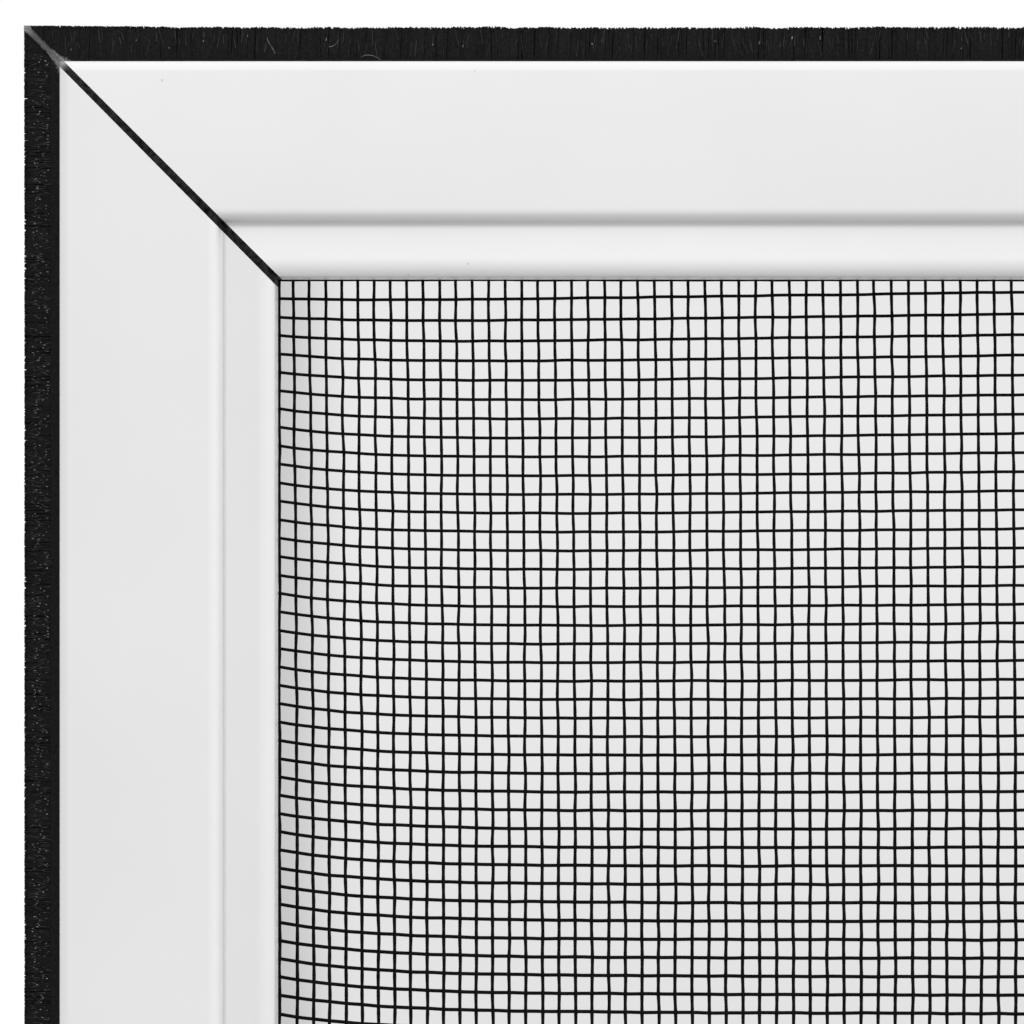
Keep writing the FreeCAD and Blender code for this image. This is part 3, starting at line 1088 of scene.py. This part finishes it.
# %% Threads of the rest of the screen
rows = []
for first, count, start in [(0, corner_warps, down_end), (corner_warps, warp_count - corner_warps, 0)]:
    row = thread_row(stations_between(start, opening_height, opening_height), count, warp_pitch)
    lay_warps(row, first, False)
    rows.append(row)
for first, count, start in [(0, corner_wefts, right_end), (corner_wefts, weft_count - corner_wefts, 0)]:
    row = thread_row(stations_between(start, opening_width, opening_width), count, weft_pitch)
    lay_wefts(row, first, False)
    rows.append(row)
cloth = piece("insect_mesh_threads", joined(*rows), thread, "black_mesh", "insect_mesh")

# %% [markdown]
# ## Stage, light and camera
# The screen is looked at square on, close to its top left corner. A pale card behind the mesh stands for
# the surface that such a screen is laid on, and it is see-through from behind so that the back can be
# looked at too. The light is that of a tent: even from all round above the floor, and less from below.
# One soft lamp stands close to the corner that is looked at, and another far to the right, which
# brightens what faces it.

# %% Nodes of the stage
def blank_tree(data, output):
    """An empty node tree, and the socket that its surface goes to."""
    data.use_nodes = True
    tree = data.node_tree
    tree.nodes.clear()
    return tree, tree.nodes.new(output).inputs["Surface"]


def paint(tree, grey):
    node = tree.nodes.new("ShaderNodeBsdfDiffuse")
    node.inputs["Color"].default_value = (grey, grey, grey, 1)
    return node.outputs["BSDF"]


def glow(tree, grey, strength, kind="ShaderNodeEmission"):
    """A surface or a sky that shines. The strength is a socket or a plain number."""
    node = tree.nodes.new(kind)
    node.inputs["Color"].default_value = (grey, grey, grey, 1)
    put(tree, node.inputs["Strength"], strength)
    return node.outputs[0]


def mixed(tree, share, first, second):
    """Two shaders as one. The share of the second is a socket or a plain number."""
    node = tree.nodes.new("ShaderNodeMixShader")
    put(tree, node.inputs["Fac"], share)
    tree.links.new(first, node.inputs[1])
    tree.links.new(second, node.inputs[2])
    return node.outputs["Shader"]


# %% Floor and card
floor_size = 60.0
floor_grey = 0.7
fade_start = 0.8
fade_end = 2.6
light_above = 0.945
light_below = 0.19
light_reach = 4.0
card_gap = 1.0 * mm
card_grey = 0.86
card_glow = 0.92
stile_shade = 0.7
stile_shade_start = 2 * mm
stile_shade_end = 8 * mm
lower_shade = 0.92
lower_shade_start = 80 * mm
lower_shade_end = 10 * mm


def floor_material():
    """Pale floor that keeps the shadow and runs out to white. It lights the screen no more than the tent."""
    mat = bpy.data.materials.new("pale_floor")
    tree, surface = blank_tree(mat, "ShaderNodeOutputMaterial")
    away = tree.nodes.new("ShaderNodeVectorMath")
    away.operation = "LENGTH"
    tree.links.new(object_place(tree), away.inputs[0])
    distance = away.outputs["Value"]
    fade = ranged(tree, distance, fade_start, fade_end, 0, 1, "SMOOTHSTEP")
    seen = mixed(tree, fade, paint(tree, floor_grey), glow(tree, 1, 1))
    level = ranged(tree, distance, 0, light_reach, light_below, light_above)
    path = tree.nodes.new("ShaderNodeLightPath").outputs
    tree.links.new(mixed(tree, path["Is Diffuse Ray"], seen, glow(tree, 1, level)), surface)
    return mat


def card_material():
    """Pale surface, shaded beside the stiles, that is see-through from behind and for shadows."""
    mat = bpy.data.materials.new("pale_card")
    tree, surface = blank_tree(mat, "ShaderNodeOutputMaterial")
    axes = axes_of(tree, object_place(tree))
    strength = 1
    # Painted shade: the glow is darker beside the stiles and towards the bottom.
    for axis, start, end, dark in (
        ("X", -open_x - stile_shade_start, -open_x + stile_shade_end, stile_shade),
        ("X", open_x + stile_shade_start, open_x - stile_shade_end, stile_shade),
        ("Z", open_z - lower_shade_start, open_z - lower_shade_end, lower_shade),
    ):
        shade = ranged(tree, axes[axis], start, end, dark, 1, "SMOOTHERSTEP")
        strength = calc(tree, "MULTIPLY", strength, shade)
    card = mixed(tree, card_glow, paint(tree, card_grey), glow(tree, card_grey, strength))
    path = tree.nodes.new("ShaderNodeLightPath").outputs
    behind = tree.nodes.new("ShaderNodeNewGeometry").outputs["Backfacing"]
    hidden = calc(tree, "MAXIMUM", path["Is Shadow Ray"], behind)
    clear = tree.nodes.new("ShaderNodeBsdfTransparent").outputs["BSDF"]
    tree.links.new(mixed(tree, hidden, card, clear), surface)
    return mat


def stage_plane(name, size, matrix, material):
    bm = bmesh.new()
    bmesh.ops.create_grid(bm, x_segments=1, y_segments=1, size=0.5,
                          matrix=matrix @ Matrix.Diagonal((*size, 1, 1)))
    obj = linked(name, as_mesh(name, bm))
    obj.data.materials.append(material)


stand = cad_box[0].z
stage_plane("floor", (floor_size, floor_size), Matrix.Translation((0, 0, stand)), floor_material())
card_place = Matrix.Translation((0, front + depth + card_gap, 0)) @ Matrix.Rotation(math.radians(90), 4, "X")
card_size = (2 * (half_width - flat / 2), 2 * (half_height - flat / 2))
stage_plane("card", card_size, card_place, card_material())
print(f"card {card_size[0] / mm:.0f} by {card_size[1] / mm:.0f} mm, floor at {stand / mm:.1f} mm")

# %% World and lamps
near_size = 0.25
near_way = Vector((0, -0.33, 0.29))
near_strength = 0.165
near_in = 40 * mm
near_down = 10 * mm
side_spread = 40
side_way = Vector((0.9, -0.43, 0.05))
side_strength = 0.3


def white_world():
    """White for the camera and for reflections, and for surfaces a light that fades from the horizon down."""
    world = bpy.data.worlds.new("studio")
    bpy.context.scene.world = world
    tree, surface = blank_tree(world, "ShaderNodeOutputWorld")
    path = tree.nodes.new("ShaderNodeLightPath").outputs
    through = calc(tree, "MAXIMUM", path["Is Camera Ray"], path["Is Transmission Ray"])
    seen = calc(tree, "MAXIMUM", through, path["Is Glossy Ray"])
    towards = tree.nodes.new("ShaderNodeTexCoord").outputs["Generated"]
    level = ranged(tree, axes_of(tree, towards)["Z"], -1, 0, light_below, light_above)
    tent = glow(tree, 1, level, "ShaderNodeBackground")
    white = glow(tree, 1, 1, "ShaderNodeBackground")
    tree.links.new(mixed(tree, seen, tent, white), surface)


def shine_from(obj, way):
    """Turns a lamp so that it shines from a direction."""
    obj.rotation_mode = "QUATERNION"
    obj.rotation_quaternion = way.to_track_quat("Z", "Y")


def soft_lamp(name, size, aim, away, strength):
    """A square lamp that looks at a place. Strength 1 lights what faces it there to its own colour."""
    lamp = bpy.data.lights.new(name, "AREA")
    lamp.size = size
    lamp.energy = strength * math.pi**2 * away.length_squared
    obj = linked(name, lamp)
    obj.location = aim + away
    shine_from(obj, away)


def far_lamp(name, spread, way, strength):
    """A wide lamp a long way off, which shines from a direction at the same strength everywhere."""
    lamp = bpy.data.lights.new(name, "SUN")
    lamp.angle = math.radians(spread)
    lamp.energy = strength * math.pi
    shine_from(linked(name, lamp), way)


white_world()
close_look = Vector((-half_width + near_in, front, half_height - near_down))
soft_lamp("near", near_size, close_look, near_way, near_strength)
far_lamp("side", side_spread, side_way, side_strength)
print("lamps:", [lamp.name for lamp in bpy.data.lights])

# %% Camera, square on to the top left corner
picture = 1024
mesh_pixels_per_mm = 11.854
centre_in = 37.62 * mm
centre_down = 37.49 * mm
camera_distance = 0.58
view_width = picture / mesh_pixels_per_mm * mm
camera = bpy.data.cameras.new("camera")
camera.sensor_width = 36
camera.lens = camera.sensor_width * (camera_distance + wall_end) / view_width
camera.clip_start = 0.01
camera.clip_end = 100
camera_object = linked("camera", camera)
camera_object.location = (-half_width + centre_in, front - camera_distance, half_height - centre_down)
camera_object.rotation_euler = (math.radians(90), 0, 0)
bpy.context.scene.camera = camera_object
bpy.context.scene.view_settings.view_transform = "Standard"
print(f"lens {camera.lens:.0f} mm, {camera_distance:.2f} m off")
